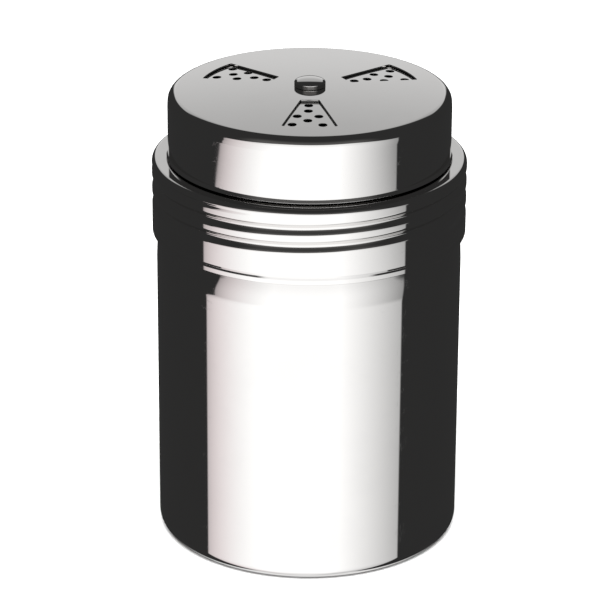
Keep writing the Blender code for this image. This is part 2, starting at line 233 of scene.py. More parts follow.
class Finish(bpy.types.PropertyGroup):
    """Colours and polish."""

    steel: colour("Steel", "Colour of the polished steel", (0.80, 0.79, 0.78))
    inside: colour("Inside", "Colour of the duller inside", (0.66, 0.65, 0.64))
    spring: colour("Spring steel", "Colour of the wavy washer", (0.42, 0.42, 0.43))
    rubber: colour("Seal", "Colour of the seal", (0.62, 0.62, 0.60))
    polish: amount("Polish", "Roughness of the polished steel", 0.035)
    satin: amount("Satin", "Roughness of the inside", 0.26)
    washers: amount("Washers", "Roughness of the washers", 0.3)


class Studio(bpy.types.PropertyGroup):
    """The camera, the floor and what the polish reflects."""

    distance: length("Distance", "From the camera to the aim point", 705.13)
    aim_height: length("Aim height", "Height of the aim point on the axis", 50.0)
    elevation: angle("Elevation", "Height of the camera above the horizontal", 22.772)
    roll: angle("Roll", "Lean of the camera", 0.357)
    lens: amount("Lens", "Focal length in millimetres", 199.46)
    panel_left: angle("Panel, left", "Left edge of the bright front", -74.0)
    table_left: angle("Table, left", "Left edge of the bright table", -83.0)
    panel_right: angle("Panel, right", "Right edge of the bright front", 74.5)
    panel_top: angle("Panel, top", "Upper edge of the bright front", 16.0)
    left_drop: angle("Left drop", "How far the upper edge falls towards the left", 25.0)
    right_drop: angle("Right drop", "How far the upper edge falls towards the right", 26.0)
    panel_level: amount("Panel level", "Brightness of the bright front", 1.3)
    panel_edge: amount("Panel edge", "Share of the brightness left at the panel's sides", 0.26)
    table_edge: amount("Table edge", "Share of the brightness left at the table's sides", 0.44)
    # Painted shadow: the table straight below is dimmed where the shaker's own shadow falls on it.
    shaded_table_share: amount("Table, near", "Share of the brightness that is left straight below", 0.7)
    wall_level: amount("Wall level", "Brightness of the wall behind", 0.71)
    wall_width: amount("Wall width", "Sideways reach of the low wall behind, from 0 to 1", 0.24)
    wall_top_width: amount("Wall top width", "Sideways reach of the wall high up, from 0 to 1", 0.56)
    wall_reach: amount("Wall reach", "How far forward the wall comes overhead: 0 is right above", 0.74)
    flag_level: amount("Flag level", "Brightness of the dark flags", 0.03)
    glow_level: amount("Glow level", "Brightness just above the bright front", 0.11)
    floor: colour("Floor", "Colour of the floor", (0.90, 0.90, 0.90))
    floor_radius: length("Floor radius", "Radius of the round floor", 4000.0)
    lamp_forward: length("Lamp forward", "How far in front of the shaker the softbox hangs", 500.0)
    lamp_height: length("Lamp height", "Height of the softbox", 1350.0)
    lamp_size: length("Lamp size", "Diameter of the softbox", 1600.0)
    lamp_power: amount("Lamp power", "Power of the softbox in watts", 60.0)


# Outlines

def rounded(corners, closed=True):
    """Points and outward normals of an outline of (x, y, rounding) corners.

    The outline runs with the body on its left. The two ends of an open outline
    are bare points.
    """
    outline = []
    count = len(corners)
    for index, (x, y, rounding) in enumerate(corners):
        corner = Vector((x, y))
        before = Vector(corners[index - 1][:2])
        after = Vector(corners[(index + 1) % count][:2])
        arriving = (corner - before).normalized()
        leaving = (after - corner).normalized()
        if not closed and index in (0, count - 1):
            way = leaving if index == 0 else arriving
            outline.append((corner, Vector((way.y, -way.x))))
            continue
        turn = math.atan2(arriving.cross(leaving), arriving.dot(leaving))
        side = math.copysign(1.0, turn)
        start = corner - arriving * rounding * math.tan(0.5 * abs(turn))
        facing = Vector((arriving.y, -arriving.x))
        centre = start - facing * rounding * side
        bend_step = BEND_STEP if rounding > SMALL_ROUNDING else SMALL_BEND_STEP
        steps = max(1, math.ceil(abs(turn) / bend_step))
        for step in range(steps + 1):
            normal = facing.copy()
            normal.rotate(Matrix.Rotation(turn * step / steps, 2))
            outline.append((centre + normal * rounding * side, normal))
    return outline


def crown(radius, rise, top):
    """The elliptic crown of a head, from its side up to its middle."""
    outline = []
    for step in range(1, CROWN_STEPS + 1):
        bend = QUARTER_TURN * step / CROWN_STEPS
        point = Vector((radius * math.cos(bend), top - rise + rise * math.sin(bend)))
        outline.append((point, Vector((rise * math.cos(bend), radius * math.sin(bend))).normalized()))
    return outline


def with_rows(outline, low, high, spacing):
    """The outline with its upright stretches between two heights divided into rows."""
    fuller = [outline[0]]
    for (start, normal), (end, end_normal) in zip(outline, outline[1:]):
        upright = abs(start.x - end.x) < WELD
        reaches = min(start.y, end.y) < high and max(start.y, end.y) > low
        count = math.ceil((end - start).length / spacing) if upright and reaches else 1
        fuller += [(start.lerp(end, row / count), normal) for row in range(1, count)]
        fuller.append((end, end_normal))
    return fuller


def circle(x, y, radius, steps):
    """A round opening, as points and the directions away from its middle."""
    loop = []
    for step in range(steps):
        turn = FULL_TURN * step / steps
        way = Vector((math.cos(turn), math.sin(turn)))
        loop.append((Vector((x, y)) + radius * way, way))
    return loop


def arc(centre, radius, first, last, steps):
    """A round stretch of an opening."""
    loop = []
    for step in range(steps + 1):
        turn = first + (last - first) * step / steps
        way = Vector((math.cos(turn), math.sin(turn)))
        loop.append((centre + radius * way, way))
    return loop


def turned_loop(loop, turn):
    """The loop, turned round the axis."""
    rotation = Matrix.Rotation(turn, 2)
    return [(rotation @ point, rotation @ way) for point, way in loop]


def grown(loop, margin):
    """The points of a loop moved outwards by a margin."""
    return [point + way * margin for point, way in loop]


def inside(point, polygon):
    """Whether a point lies in a convex polygon that runs counter-clockwise."""
    for start, end in zip(polygon, polygon[1:] + polygon[:1]):
        if (end - start).cross(point - start) <= 0.0:
            return False
    return True


# Rolled threads

def smoothed(share):
    """A share held between 0 and 1, with soft ends."""
    held = min(max(share, 0.0), 1.0)
    return held * held * (3.0 - 2.0 * held)


def thread_share(turn, height, start, first_turn, last_turn, pitch, width, run_out):
    """How much of the full thread depth a point of a wall gets, from 0 to 1."""
    share = 0.0
    for lap in range(-1, math.ceil(last_turn) + 1):
        along = turn / FULL_TURN + lap
        past_end = max(first_turn - along, along - last_turn, 0.0)
        offset = height - start - along * pitch
        if past_end < run_out and abs(offset) < 0.5 * width:
            fade = 0.5 + 0.5 * math.cos(math.pi * past_end / run_out)
            share = max(share, fade * (0.5 + 0.5 * math.cos(FULL_TURN * offset / width)))
    return share


# Meshes with true normals

class Body:
    """A mesh in the making, whose vertices carry their true normals."""

    def __init__(self):
        self.bm = bmesh.new()
        self.normals = self.bm.verts.layers.float_vector.new("true_normal")

    def vert(self, place, normal):
        """Add a vertex."""
        vert = self.bm.verts.new(place)
        vert[self.normals] = normal
        return vert

    def spin(self, outline, closed=True, press=None, segments=SEGMENTS, dull_from=None):
        """Spin an outline of (radius, height) points round the axis.

        press gives the depth that a wall is pressed in at a turn and a height.
        Faces from the outline's point dull_from onwards get the second material.
        """
        rings = [self.ring(point, normal, press, segments) for point, normal in outline]
        pairs = list(zip(rings, rings[1:]))
        if closed:
            pairs.append((rings[-1], rings[0]))
        for index, (lower, upper) in enumerate(pairs):
            for segment in range(segments):
                after = (segment + 1) % segments
                corners = [lower[segment % len(lower)], lower[after % len(lower)]]
                corners += [upper[after % len(upper)], upper[segment % len(upper)]]
                corners = list(dict.fromkeys(corners))
                if len(corners) > 2:
                    face = self.bm.faces.new(corners)
                    face.material_index = int(dull_from is not None and index >= dull_from)

    def ring(self, point, normal, press, segments):
        """One ring of vertices, or the single vertex of a point on the axis."""
        if point.x < WELD:
            return [self.vert((0.0, 0.0, point.y), (0.0, 0.0, normal.y))]
        ring = []
        for segment in range(segments):
            turn = FULL_TURN * segment / segments
            radius = point.x
            facing = Vector((normal.x, 0.0, normal.y))
            if press and abs(normal.y) < WELD:
                depth = press(turn, point.y)
                if depth:
                    radius -= depth
                    above, below = point.y + SLOPE_STEP, point.y - SLOPE_STEP
                    climb = (press(turn, above) - press(turn, below)) / (2.0 * SLOPE_STEP)
                    swing = SLOPE_STEP / radius
                    ahead, behind = turn + swing, turn - swing
                    drift = (press(ahead, point.y) - press(behind, point.y)) / (2.0 * SLOPE_STEP)
                    facing = Vector((1.0, drift, climb)) * math.copysign(1.0, normal.x)
            facing.rotate(Matrix.Rotation(turn, 3, "Z"))
            place = (radius * math.cos(turn), radius * math.sin(turn), point.y)
            ring.append(self.vert(place, facing.normalized()))
        return ring

    def pierced_dome(self, top, thickness, rise, reach, flat, loops, edge):
        """Fill the dome inside a ring, on both sides, and line its openings.

        rise is the dome's rise over the radius flat, and reach the ring's radius.
        """
        self.dome_side(top, 1.0, rise, reach, flat, loops, edge)
        self.dome_side(top - thickness, -1.0, rise, reach, flat, loops, edge)
        for loop in loops:
            self.line_opening(loop, top, thickness, rise, flat, edge)

    def dome_side(self, top, facing, rise, reach, flat, loops, edge):
        """One side of a pierced dome."""
        places = [point for point, _ in circle(0.0, 0.0, reach, SEGMENTS)]
        constraints = ring_edges(0, SEGMENTS)
        polygons = [grown(loop, edge) for loop in loops]
        for polygon in polygons:
            constraints += ring_edges(len(places), len(polygon))
            places += polygon
        keep_out = [grown(loop, edge + DOME_EDGE_MARGIN) for loop in loops]
        rings = math.floor(reach / DOME_RING_SPACING)
        for ring in range(1, rings):
            radius = reach * ring / rings
            count = max(FEWEST_DOME_POINTS, round(FULL_TURN * radius / DOME_POINT_SPACING))
            for point, _ in circle(0.0, 0.0, radius, count):
                if not any(inside(point, polygon) for polygon in keep_out):
                    places.append(point)
        points, _, faces = delaunay_2d_cdt(places, constraints, [], 0, SAME_POINT)[:3]
        verts = []
        for point in points:
            height = top - rise * (point.length / flat) ** 2
            verts.append(self.vert((point.x, point.y, height), facing * dome_normal(point, rise, flat)))
        for face in faces:
            middle = sum((points[index] for index in face), Vector((0.0, 0.0))) / len(face)
            if any(inside(middle, polygon) for polygon in polygons):
                continue
            corners = [verts[index] for index in face]
            self.bm.faces.new(corners if facing > 0.0 else corners[::-1])

    def line_opening(self, loop, top, thickness, rise, flat, edge):
        """The cut wall of an opening, rounded where it meets either side."""
        levels = []
        for step in range(CUT_EDGE_STEPS + 1):
            bend = QUARTER_TURN * step / CUT_EDGE_STEPS
            levels.append((edge * (1.0 - math.sin(bend)), edge * (1.0 - math.cos(bend)), bend))
        upper = [(margin, drop, math.cos(bend), math.sin(bend)) for margin, drop, bend in levels]
        lower = [(margin, thickness - drop, -up, out) for margin, drop, up, out in reversed(upper)]
        rings = []
        for margin, drop, up, out in upper + lower:
            ring = []
            for point, way in loop:
                spot = point + way * margin
                height = top - rise * (spot.length / flat) ** 2 - drop
                normal = dome_normal(spot, rise, flat) * up - way.to_3d() * out
                ring.append(self.vert((spot.x, spot.y, height), normal.normalized()))
            rings.append(ring)
        count = len(loop)
        for above, below in zip(rings, rings[1:]):
            for index in range(count):
                after = (index + 1) % count
                self.bm.faces.new((above[index], above[after], below[after], below[index]))

    def piece(self, name, body, node, slot, materials):
        """Make the object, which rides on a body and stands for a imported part."""
        bmesh.ops.remove_doubles(self.bm, verts=self.bm.verts, dist=WELD)
        normals = [vert[self.normals].normalized() for vert in self.bm.verts]
        mesh = bpy.data.meshes.new(name)
        self.bm.to_mesh(mesh)
        self.bm.free()
        mesh.attributes.remove(mesh.attributes["true_normal"])
        mesh.shade_smooth()
        mesh.normals_split_custom_set_from_vertices(normals)
        for material in materials:
            mesh.materials.append(material)
        piece = bpy.data.objects.new(name, mesh)
        bpy.context.scene.collection.objects.link(piece)
        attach(piece, body)
        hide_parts(node)
        return piece


def ring_edges(first, count):
    """Edges that join a run of points into a ring."""
    return [(first + index, first + (index + 1) % count) for index in range(count)]


def dome_normal(point, rise, flat):
    """The upward normal of a dome at a point."""
    slope = 2.0 * rise / flat ** 2
    return Vector((slope * point.x, slope * point.y, 1.0)).normalized()


# Shader nodes

class Nodes:
    """Short ways to add nodes to a tree and join them."""

    def __init__(self, tree):
        self.tree = tree
        tree.nodes.clear()

    def add(self, kind, inputs=None, **settings):
        """Add a node, set it up, and set or join its inputs by name or place."""
        node = self.tree.nodes.new(kind)
        for name, value in settings.items():
            setattr(node, name, value)
        for key, value in (inputs or {}).items():
            if isinstance(value, bpy.types.NodeSocket):
                self.tree.links.new(value, node.inputs[key])
            else:
                node.inputs[key].default_value = value
        return node

    def math(self, operation, first, second=0.0, clamp=False):
        """A math node's result."""
        node = self.add("ShaderNodeMath", {0: first, 1: second}, operation=operation, use_clamp=clamp)
        return node.outputs[0]

    def ramp(self, value, from_low, from_high, to_low=0.0, to_high=1.0, kind="SMOOTHSTEP"):
        """A value brought from one range to another, and held at its ends."""
        inputs = {"Value": value, "From Min": from_low, "From Max": from_high}
        inputs.update({"To Min": to_low, "To Max": to_high})
        return self.add("ShaderNodeMapRange", inputs, interpolation_type=kind).outputs["Result"]

    def span(self, value, degrees, to_low=0.0, to_high=1.0, kind="SMOOTHSTEP"):
        """An angle brought from a span in degrees to another range, and held at its ends."""
        first, last = (math.radians(end) for end in degrees)
        return self.ramp(value, first, last, to_low, to_high, kind)

    def product(self, first, *others):
        """Some numbers multiplied together."""
        for other in others:
            first = self.math("MULTIPLY", first, other)
        return first

    def blend(self, factor, first, second):
        """Two colours mixed."""
        node = self.add("ShaderNodeMix", data_type="RGBA")
        colours = [socket for socket in node.inputs if socket.type == "RGBA"]
        for socket, value in ((node.inputs[0], factor), (colours[0], first), (colours[1], second)):
            if isinstance(value, bpy.types.NodeSocket):
                self.tree.links.new(value, socket)
            else:
                socket.default_value = value
        return next(socket for socket in node.outputs if socket.type == "RGBA")

    def bump(self, height, strength, distance):
        """A normal from a height."""
        inputs = {"Height": height, "Strength": strength, "Distance": distance}
        return self.add("ShaderNodeBump", inputs).outputs["Normal"]


# What the marks and the grain do to the materials

SMUDGE_SPAN = (0.46, 0.72)
SCRATCH_SPAN = (0.56, 0.66)
SCRATCH_WARP = 0.12
SOILED_SHARE = 0.985
LINE_DEPTH = 0.004 * MM
SCRATCH_DEPTH = 0.01 * MM
SCRATCH_STRENGTH = 0.1
RUBBER_DARK_SHARE = 0.9
RUBBER_CLOUD_SPAN = (0.3, 0.7)
RUBBER_ROUGHNESS = (0.55, 0.7)
GRAIN_DEPTH = 0.02 * MM
GRAIN_STRENGTH = 0.3
PAPER_PALE_SHARE = 1.01


def grey(level):
    """An opaque grey."""
    return (level, level, level, 1.0)


def new_group(name, inputs, outputs):
    """A shader node group with named float sockets, and its input and output nodes."""
    tree = bpy.data.node_groups.new(name, "ShaderNodeTree")
    for socket, default in inputs.items():
        item = tree.interface.new_socket(name=socket, in_out="INPUT", socket_type="NodeSocketFloat")
        item.default_value = default
    for socket in outputs:
        tree.interface.new_socket(name=socket, in_out="OUTPUT", socket_type="NodeSocketFloat")
    nodes = Nodes(tree)
    return tree, nodes, nodes.add("NodeGroupInput"), nodes.add("NodeGroupOutput")


def handling_marks():
    """Soft smudges and fine stray scratches, as a smudge mask, a scratch mask and a height."""
    name = "handling_marks"
    if name in bpy.data.node_groups:
        return bpy.data.node_groups[name]
    inputs = {"Smudge Size": 0.012, "Scratch Spacing": 0.004, "Scratch Width": 0.00003}
    tree, nodes, given, result = new_group(name, inputs, ("Smudges", "Scratches", "Height"))
    place = nodes.add("ShaderNodeTexCoord").outputs["Object"]
    smudge_scale = nodes.math("DIVIDE", 1.0, given.outputs["Smudge Size"])
    cloud = nodes.add(
        "ShaderNodeTexNoise", {"Vector": place, "Scale": smudge_scale, "Detail": 4.0, "Roughness": 0.6},
    )
    smudges = nodes.ramp(cloud.outputs["Fac"], *SMUDGE_SPAN)
    scratch_scale = nodes.math("DIVIDE", 1.0, given.outputs["Scratch Spacing"])
    warp = nodes.add("ShaderNodeTexNoise", {"Vector": place, "Scale": 60.0, "Detail": 2.0})
    bent = nodes.add(
        "ShaderNodeMix", {"Factor": SCRATCH_WARP}, data_type="VECTOR", factor_mode="UNIFORM",
    )
    vectors = [socket for socket in bent.inputs if socket.type == "VECTOR" and socket.enabled]
    tree.links.new(place, vectors[-2])
    tree.links.new(warp.outputs["Color"], vectors[-1])
    bent_place = next(socket for socket in bent.outputs if socket.enabled)
    cells = nodes.add(
        "ShaderNodeTexVoronoi", {"Vector": bent_place, "Scale": scratch_scale, "Randomness": 1.0},
        feature="DISTANCE_TO_EDGE",
    )
    width = nodes.math("MULTIPLY", given.outputs["Scratch Width"], scratch_scale)
    line = nodes.ramp(cells.outputs["Distance"], 0.0, width, 1.0, 0.0)
    breaks = nodes.add("ShaderNodeTexNoise", {"Vector": place, "Scale": 420.0, "Detail": 1.0})
    scratches = nodes.math("MULTIPLY", line, nodes.ramp(breaks.outputs["Fac"], *SCRATCH_SPAN))
    tree.links.new(smudges, result.inputs["Smudges"])
    tree.links.new(scratches, result.inputs["Scratches"])
    tree.links.new(nodes.math("MULTIPLY", scratches, -1.0), result.inputs["Height"])
    return tree


def buffing_lines():
    """Faint lines that the buffing wheel leaves round the axis, as a height from 0 to 1."""
    name = "buffing_lines"
    if name in bpy.data.node_groups:
        return bpy.data.node_groups[name]
    tree, nodes, given, result = new_group(name, {"Spacing": 0.0002, "Sweep": 6.0}, ("Height",))
    place = nodes.add("ShaderNodeTexCoord").outputs["Object"]
    parts = nodes.add("ShaderNodeSeparateXYZ", {0: place}).outputs
    squares = [nodes.math("POWER", parts[axis], 2.0) for axis in "XY"]
    radius = nodes.math("SQRT", nodes.math("ADD", *squares))
    turn = nodes.math("ARCTAN2", parts["Y"], parts["X"])
    along = nodes.math("MULTIPLY", nodes.math("COSINE", turn), given.outputs["Sweep"])
    across = nodes.math("MULTIPLY", nodes.math("SINE", turn), given.outputs["Sweep"])
    level = nodes.math("DIVIDE", nodes.math("ADD", parts["Z"], radius), given.outputs["Spacing"])
    spread = nodes.add("ShaderNodeCombineXYZ", {"X": along, "Y": across, "Z": level}).outputs[0]
    streaks = nodes.add("ShaderNodeTexNoise", {"Vector": spread, "Scale": 1.0, "Detail": 3.0})
    tree.links.new(streaks.outputs["Fac"], result.inputs["Height"])
    return tree


def steel_material(name, base, roughness, smudged, scratched, lines):
    """Steel whose polish varies with smudges, scratches and buffing lines.

    smudged and scratched are what the marks add to the roughness, and lines is
    the strength of the buffing lines' bump.
    """
    material = bpy.data.materials.new(name)
    material.use_nodes = True
    nodes = Nodes(material.node_tree)
    marks = nodes.add("ShaderNodeGroup", node_tree=handling_marks())
    buffing = nodes.add("ShaderNodeGroup", node_tree=buffing_lines())
    rough = nodes.math("MULTIPLY_ADD", marks.outputs["Smudges"], smudged)
    rough.node.inputs[2].default_value = roughness
    rougher = nodes.math("MULTIPLY_ADD", marks.outputs["Scratches"], scratched)
    nodes.tree.links.new(rough, rougher.node.inputs[2])
    soiled = [channel * SOILED_SHARE for channel in base]
    tint = nodes.blend(marks.outputs["Smudges"], (*base, 1.0), (*soiled, 1.0))
    lined = nodes.bump(buffing.outputs["Height"], lines, LINE_DEPTH)
    normal = nodes.bump(marks.outputs["Height"], SCRATCH_STRENGTH, SCRATCH_DEPTH)
    nodes.tree.links.new(lined, normal.node.inputs["Normal"])
    shader = nodes.add(
        "ShaderNodeBsdfPrincipled",
        {"Base Color": tint, "Roughness": rougher, "Metallic": 1.0, "Normal": normal},
    )
    nodes.add("ShaderNodeOutputMaterial", {"Surface": shader.outputs[0]})
    return material


def rubber_material(name, base):
    """Matt moulded rubber with a fine grain."""
    material = bpy.data.materials.new(name)
    material.use_nodes = True
    nodes = Nodes(material.node_tree)
    place = nodes.add("ShaderNodeTexCoord").outputs["Object"]
    grain = nodes.add("ShaderNodeTexNoise", {"Vector": place, "Scale": 5000.0, "Detail": 3.0})
    cloud = nodes.add("ShaderNodeTexNoise", {"Vector": place, "Scale": 220.0, "Detail": 3.0})
    darker = [channel * RUBBER_DARK_SHARE for channel in base]
    tint = nodes.blend(cloud.outputs["Fac"], (*base, 1.0), (*darker, 1.0))
    rough = nodes.ramp(cloud.outputs["Fac"], *RUBBER_CLOUD_SPAN, *RUBBER_ROUGHNESS)
    normal = nodes.bump(grain.outputs["Fac"], GRAIN_STRENGTH, GRAIN_DEPTH)
    shader = nodes.add(
        "ShaderNodeBsdfPrincipled",
        {"Base Color": tint, "Roughness": rough, "Metallic": 0.0, "Normal": normal},
    )
    nodes.add("ShaderNodeOutputMaterial", {"Surface": shader.outputs[0]})
    return material


def polished(name):
    """The outside polish and the duller inside, for one piece."""
    finish = bpy.context.scene.shaker_finish
    outer = steel_material(
        name + "_polish", finish.steel, finish.polish, smudged=0.012, scratched=0.03, lines=0.02,
    )
    inner = steel_material(
        name + "_inside", finish.inside, finish.satin, smudged=0.06, scratched=0.10, lines=0.5,
    )
    return outer, inner


# Pieces

class SHAKER_OT_can(bpy.types.Operator):
    """Build the drawn can with its rolled bead and curled rim"""

    bl_idname = "shaker.can"
    bl_label = "Build can"

    def execute(self, context):
        form = context.scene.shaker_can
        lid = context.scene.shaker_lid
        ring_outer = form.radius - form.base_corner
        ring_inner = ring_outer - form.foot_ring
        panel = ring_inner - form.foot_ramp
        neck = form.radius - form.neck_inset
        step_base = form.neck_base - form.neck_step
        inner_neck = neck - form.wall
        inner_wall = form.radius - form.wall
        curl = 2.0 * form.rim_curl
        cut = form.cut_share * form.wall
        outer = [
            (0.0, form.floor_rise, 0.0), (panel, form.floor_rise, form.bend),
            (ring_inner, 0.0, form.bend),
            (form.radius, 0.0, form.base_corner), (form.radius, step_base, form.neck_curve),
            (neck, form.neck_base, form.bend), (neck, form.height, form.rim_curl),
            (neck - curl, form.height, form.rim_curl),
            (neck - curl, form.height - curl - form.wall, cut),
        ]
        inner = [
            (inner_neck, form.height - curl - form.wall, cut), (inner_neck, form.neck_base, form.bend),
            (inner_wall, step_base, form.neck_curve - form.wall),
            (inner_wall, form.floor, form.base_corner - form.wall), (ring_inner, form.floor, form.bend),
            (panel, form.floor_rise + form.floor, form.bend), (0.0, form.floor_rise + form.floor, 0.0),
        ]
        first_turn = form.bead_end - form.bead_turns
        low = form.bead_start + (first_turn - lid.run_out) * lid.pitch - form.bead_width
        outline = with_rows(rounded(outer + inner, closed=False), low, form.height, form.row)
        heights = [point.y for point, _ in outline]

        def press(turn, height):
            share = thread_share(
                turn, height, form.bead_start, first_turn, form.bead_end, lid.pitch,
                form.bead_width, lid.run_out,
            )
            return -form.bead_height * share

        body = Body()
        body.spin(outline, closed=False, press=press, dull_from=heights.index(max(heights)))
        body.piece("can_drawn", "container", "container_can", "can_steel", polished("can"))
        return {"FINISHED"}


class SHAKER_OT_seal(bpy.types.Operator):
    """Build the seal ring under the lid's shoulder"""

    bl_idname = "shaker.seal"
    bl_label = "Build seal"

    def execute(self, context):
        form = context.scene.shaker_lid
        outer = seal_high.x
        inner = outer - form.seal_width
        edge = form.seal_edge
        corners = [
            (inner, seal_low.z, edge), (outer, seal_low.z, edge),
            (outer, seal_high.z, edge), (inner, seal_high.z, edge),
        ]
        body = Body()
        body.spin(rounded(corners))
        rubber = rubber_material("seal_grain", context.scene.shaker_finish.rubber)
        body.piece("seal_moulded", "seal", "lid_seal", "seal_rubber", [rubber])
        return {"FINISHED"}


def dome_height(top, cap, radius):
    """Height of a dome like the cap's at a radius."""
    return top - cap.dome_rise * (radius / (cap_radius(cap) - cap.corner)) ** 2


def cap_radius(cap):
    """Radius of the cap's side above its flared lip."""
    return cap_high.x - cap.flare


def half_window(cap, share):
    """Half the window's width at a share of the way from its inner to its outer edge."""
    return 0.5 * (cap.inner_width + (cap.outer_width - cap.inner_width) * share)


# Where the holes stand: the first number of a row runs from the window's inner
# edge (0) to its outer edge (1), the others across it, from side (-1) to side (1).
coarse_row_shares = (
    (0.135, (0.0,)),
    (0.343, (0.0,)),
    (0.539, (-0.556, 0.556)),
    (0.694, (0.0,)),
    (0.838, (-0.611, 0.611)),
)
fine_row_shares = (
    (0.16, (0.0,)),
    (0.33, (-0.42, 0.42)),
    (0.50, (0.0,)),
    (0.66, (-0.52, 0.52)),
    (0.83, (-0.62, 0.0, 0.62)),
)


def hole_loops(cap, row_shares, group_turn, diameter, steps):
    """The holes of one kind, in every group."""
    loops = []
    for window in range(cap.window_count):
        turn = window * FULL_TURN / cap.window_count - QUARTER_TURN + group_turn
        for along, across_shares in row_shares:
            reach = cap.window_inner + (cap.window_outer - cap.window_inner) * along
            for across in across_shares:
                loop = circle(reach, across * half_window(cap, along), 0.5 * diameter, steps)
                loops.append(turned_loop(loop, turn))
    return loops


def window_loop(cap):
    """The window along +X: straight sides, an outer edge round the axis, small corners."""
    corner = cap.window_corner
    inner_half = half_window(cap, 0.0)
    outer_half = half_window(cap, 1.0)
    outer_x = math.sqrt(cap.window_outer ** 2 - outer_half ** 2)
    lean = math.atan2(outer_half - inner_half, outer_x - cap.window_inner)
    out = Vector((-math.sin(lean), math.cos(lean)))
    side_offset = cap.window_inner * out.x + inner_half * out.y
    sweep = lean + math.asin((side_offset - corner) / (cap.window_outer - corner))
    reach = cap.window_outer - corner
    inner_y = inner_half + corner * (math.sin(lean) - 1.0) / math.cos(lean)
    side = lean + QUARTER_TURN
    outer_top = Vector((reach * math.cos(sweep), reach * math.sin(sweep)))
    outer_low = Vector((outer_top.x, -outer_top.y))
    inner_top = Vector((cap.window_inner + corner, inner_y))
    inner_low = Vector((inner_top.x, -inner_y))
    axis = Vector((0.0, 0.0))
    loop = arc(inner_low, corner, -math.pi, -side, INNER_CORNER_STEPS)
    loop += arc(outer_low, corner, -side, -sweep, OUTER_CORNER_STEPS)
    loop += arc(axis, cap.window_outer, -sweep, sweep, OUTER_EDGE_STEPS)[1:-1]
    loop += arc(outer_top, corner, sweep, side, OUTER_CORNER_STEPS)
    loop += arc(inner_top, corner, side, math.pi, INNER_CORNER_STEPS)
    return loop


class SHAKER_OT_lid(bpy.types.Operator):
    """Build the stepped lid: rolled skirt, shoulder, drum and pierced dome"""

    bl_idname = "shaker.lid"
    bl_label = "Build lid"

    def execute(self, context):
        form = context.scene.shaker_lid
        cap = context.scene.shaker_cap
        knob = context.scene.shaker_knob
        flat = cap_radius(cap) - cap.corner
        reach = form.drum_radius - form.drum_corner
        top = cap.top - form.plate_depth
        slope = 2.0 * cap.dome_rise * reach / flat ** 2
        inner_skirt = form.radius - form.wall
        inner_drum = form.drum_radius - form.wall
        ledge = form.foot + form.skirt
        edge = form.rim_share * form.wall
        bend = form.crease_bend
        crease = form.foot + form.crease
        crease_radius = form.radius - form.crease_depth
        half_crease = 0.5 * form.crease_width
        rim_height = dome_height(top, cap, reach)
        corner_height = rim_height - slope * form.drum_corner
        inner_corner = form.drum_corner - form.wall
        under_corner_height = rim_height - form.wall - slope * (inner_drum - reach)
        corners = [
            (reach, rim_height - form.wall, 0.0), (inner_drum, under_corner_height, inner_corner),
            (inner_drum, ledge - form.wall, form.inner_bend),
            (inner_skirt, ledge - form.wall, form.shoulder - form.wall),
            (inner_skirt, form.foot, edge), (form.radius, form.foot, edge),
            (form.radius, crease - half_crease, bend), (crease_radius, crease, bend),
            (form.radius, crease + half_crease, bend), (form.radius, ledge, form.shoulder),
            (form.drum_radius, ledge, form.drum_foot),
            (form.drum_radius, corner_height, form.drum_corner), (reach, rim_height, 0.0),
        ]
        low = form.ridge_start - form.ridge_width
        high = form.ridge_start + form.ridge_turns * form.pitch + form.ridge_width
        outline = with_rows(rounded(corners, closed=False), low, high, form.row)

        def press(turn, height):
            share = thread_share(
                turn, height, form.ridge_start, 0.0, form.ridge_turns, form.pitch,
                form.ridge_width, form.run_out,
            )
            return form.ridge_depth * share * smoothed((ledge - form.shoulder - height) / form.top_land)

        loops = [circle(0.0, 0.0, knob.bore, BORE_STEPS)]
        turn = -form.rest_turn
        loops += hole_loops(cap, coarse_row_shares, turn, form.coarse_hole, COARSE_HOLE_STEPS)
        turn += form.fine_turn
        loops += hole_loops(cap, fine_row_shares, turn, form.fine_hole, FINE_HOLE_STEPS)
        body = Body()
        body.spin(outline, closed=False, press=press)
        body.pierced_dome(top, form.wall, cap.dome_rise, reach, flat, loops, form.cut_edge)
        body.piece("lid_rolled", "lid", "stepped_lid", "lid_steel", polished("lid"))
        return {"FINISHED"}


class SHAKER_OT_cap(bpy.types.Operator):
    """Build the turning cap with its three windows"""

    bl_idname = "shaker.cap"
    bl_label = "Build cap"

    def execute(self, context):
        form = context.scene.shaker_cap
        knob = context.scene.shaker_knob
        radius = cap_radius(form)
        flat = radius - form.corner
        slope = 2.0 * form.dome_rise / flat
        rim_height = dome_height(form.top, form, flat)
        inner_side = radius - form.wall
        lean_base = rim_height - form.lean_height
        lean_in = form.lean_height * math.tan(form.lean)
        corner_height = rim_height - slope * form.corner
        under_corner_height = rim_height - form.wall - slope * (inner_side - flat)
        lip_top = form.base + form.lip_height
        edge = form.rim_share * form.wall
        corners = [
            (flat, rim_height - form.wall, 0.0),
            (inner_side - lean_in, under_corner_height, form.corner - form.wall),
            (inner_side, lean_base, form.lean_curve - form.wall),
            (inner_side, lip_top, form.lip_curve), (inner_side + form.flare, form.base, edge),
            (radius + form.flare, form.base, edge), (radius, lip_top, form.lip_curve),
            (radius, lean_base, form.lean_curve),
            (radius - lean_in, corner_height, form.corner), (flat, rim_height, 0.0),
        ]
        window = window_loop(form)
        loops = [circle(0.0, 0.0, knob.bore, BORE_STEPS)]
        for index in range(form.window_count):
            loops.append(turned_loop(window, index * FULL_TURN / form.window_count - QUARTER_TURN))
        body = Body()
        body.spin(rounded(corners, closed=False), closed=False)
        body.pierced_dome(form.top, form.wall, form.dome_rise, flat, flat, loops, form.cut_edge)
        body.piece("cap_pressed", "dial", "selector_cap", "cap_steel", polished("cap"))
        return {"FINISHED"}


